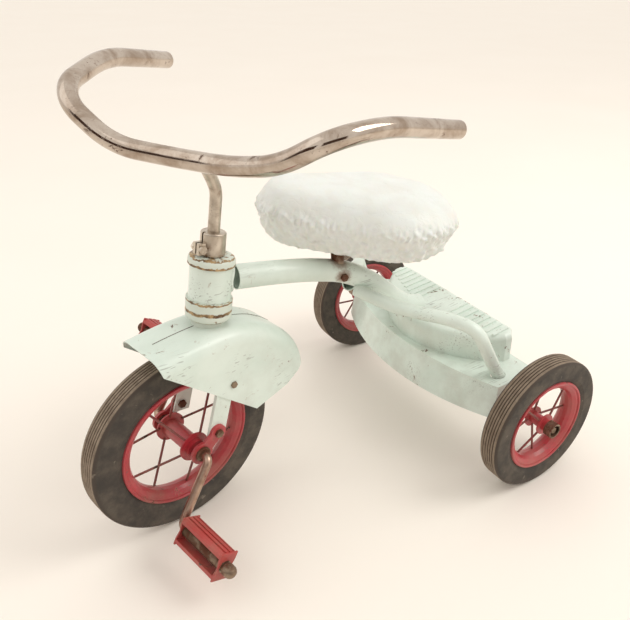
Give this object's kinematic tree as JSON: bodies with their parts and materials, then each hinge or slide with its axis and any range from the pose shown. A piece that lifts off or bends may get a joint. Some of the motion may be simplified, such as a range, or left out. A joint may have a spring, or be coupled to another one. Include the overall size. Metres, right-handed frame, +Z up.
{
  "type": "children's tricycle",
  "caption": "Steel children's tricycle with bent chrome handlebar, spoked red wheels, fender, pedals on the front wheel, stepped rear deck and a film-covered saddle",
  "frame": {"origin": "on the floor, under the middle of the whole tricycle's bounding box", "axes": "+X is forward, +Y is to the rider's left, +Z is up; the front wheel is stored turned to the left"},
  "size_m": [0.6702, 0.533, 0.5744],
  "materials": {
    "tyre_rubber": "worn black rubber, brownish on the grooved tread",
    "red_paint": "gloss red enamel, scuffed",
    "pedal_red": "faded red moulded rubber",
    "chrome": "worn chrome with brown pitting",
    "worn_nickel": "dull plated steel",
    "worn_cup": "paint worn through to tarnished metal",
    "rusty_steel": "bare steel with surface rust",
    "seat_steel": "painted sheet steel",
    "seat_foam": "open foam pad",
    "seat_plastic": "thin translucent white plastic film",
    "mint_paint": "pale mint enamel, chipped and scuffed"
  },
  "bodies": {
    "frame": {"head_tube": "mint_paint", "head_cup_top": "worn_cup", "head_cup_bottom": "worn_cup", "backbone": "mint_paint", "side_tube_left": "mint_paint", "side_tube_right": "mint_paint", "deck_pan": "mint_paint", "deck_step": "mint_paint", "rear_axle": "rusty_steel", "axle_washers": "rusty_steel", "split_pins": "rusty_steel", "seat_post": "rusty_steel", "seat_bolt": "rusty_steel", "seat_pan": "seat_steel", "seat_pad": "seat_foam", "seat_cover": "seat_plastic"},
    "fork": {"steerer_tube": "worn_nickel", "crown_race": "worn_cup", "fork_crown": "mint_paint", "fork_leg_left": "mint_paint", "fork_leg_right": "mint_paint", "bearing_strap_left": "red_paint", "bearing_strap_right": "red_paint", "axle_bushes": "rusty_steel", "strap_bolts": "rusty_steel", "fender_left": "mint_paint", "fender_right": "mint_paint", "fender_bolts": "rusty_steel", "clamp_collar": "worn_nickel", "collar_bolt": "worn_nickel"},
    "handlebar_and_stem": {"handlebar": "chrome", "stem": "worn_nickel"},
    "front_wheel": {"front_tyre": "tyre_rubber", "front_rim": "red_paint", "front_spokes": "red_paint", "front_hub_barrel": "red_paint", "front_hub_flanges": "red_paint", "crank_axle": "rusty_steel", "pedal_nuts": "rusty_steel"},
    "pedal_left": {"pedal_sleeve_left": "rusty_steel", "pedal_treads_left": "pedal_red", "pedal_plates_left": "pedal_red"},
    "rear_wheel_left": {"rear_tyre_left": "tyre_rubber", "rear_rim_left": "red_paint", "rear_spokes_left": "red_paint", "rear_hub_left": "red_paint", "rear_hub_flanges_left": "red_paint", "rear_hub_cap_left": "rusty_steel"},
    "pedal_right": {"pedal_sleeve_right": "rusty_steel", "pedal_treads_right": "pedal_red", "pedal_plates_right": "pedal_red"},
    "rear_wheel_right": {"rear_tyre_right": "tyre_rubber", "rear_rim_right": "red_paint", "rear_spokes_right": "red_paint", "rear_hub_right": "red_paint", "rear_hub_flanges_right": "red_paint", "rear_hub_cap_right": "rusty_steel"}
  },
  "joints": [
    {"name": "steering", "type": "hinge", "parent": "frame", "child": "fork", "pos_m": [0.1464, 0.00652, 0.31376], "axis": [-0.1805, 0, 0.9836], "range_deg": [-57.8, 32.2]},
    {"name": "handlebar_height", "type": "slide", "parent": "fork", "child": "handlebar_and_stem", "axis": [-0.1805, 0, 0.9836], "range_m": [-0.02, 0.03]},
    {"name": "front_wheel_spin", "type": "hinge", "parent": "fork", "child": "front_wheel", "pos_m": [0.20878, 0.01282, 0.12732], "axis": [-0.2179, 0.9751, -0.04], "continuous": true},
    {"name": "pedal_left_spin", "type": "hinge", "parent": "front_wheel", "child": "pedal_left", "pos_m": [0.23641, 0.13809, 0.05592], "axis": [-0.2179, 0.9751, -0.04], "continuous": true},
    {"name": "pedal_right_spin", "type": "hinge", "parent": "front_wheel", "child": "pedal_right", "pos_m": [0.18114, -0.11246, 0.19872], "axis": [-0.2179, 0.9751, -0.04], "continuous": true},
    {"name": "rear_wheel_left_spin", "type": "hinge", "parent": "frame", "child": "rear_wheel_left", "pos_m": [-0.23353, 0.23552, 0.1016], "axis": [0, 1, 0], "continuous": true},
    {"name": "rear_wheel_right_spin", "type": "hinge", "parent": "frame", "child": "rear_wheel_right", "pos_m": [-0.23353, -0.22248, 0.1016], "axis": [0, 1, 0], "continuous": true}
  ]
}
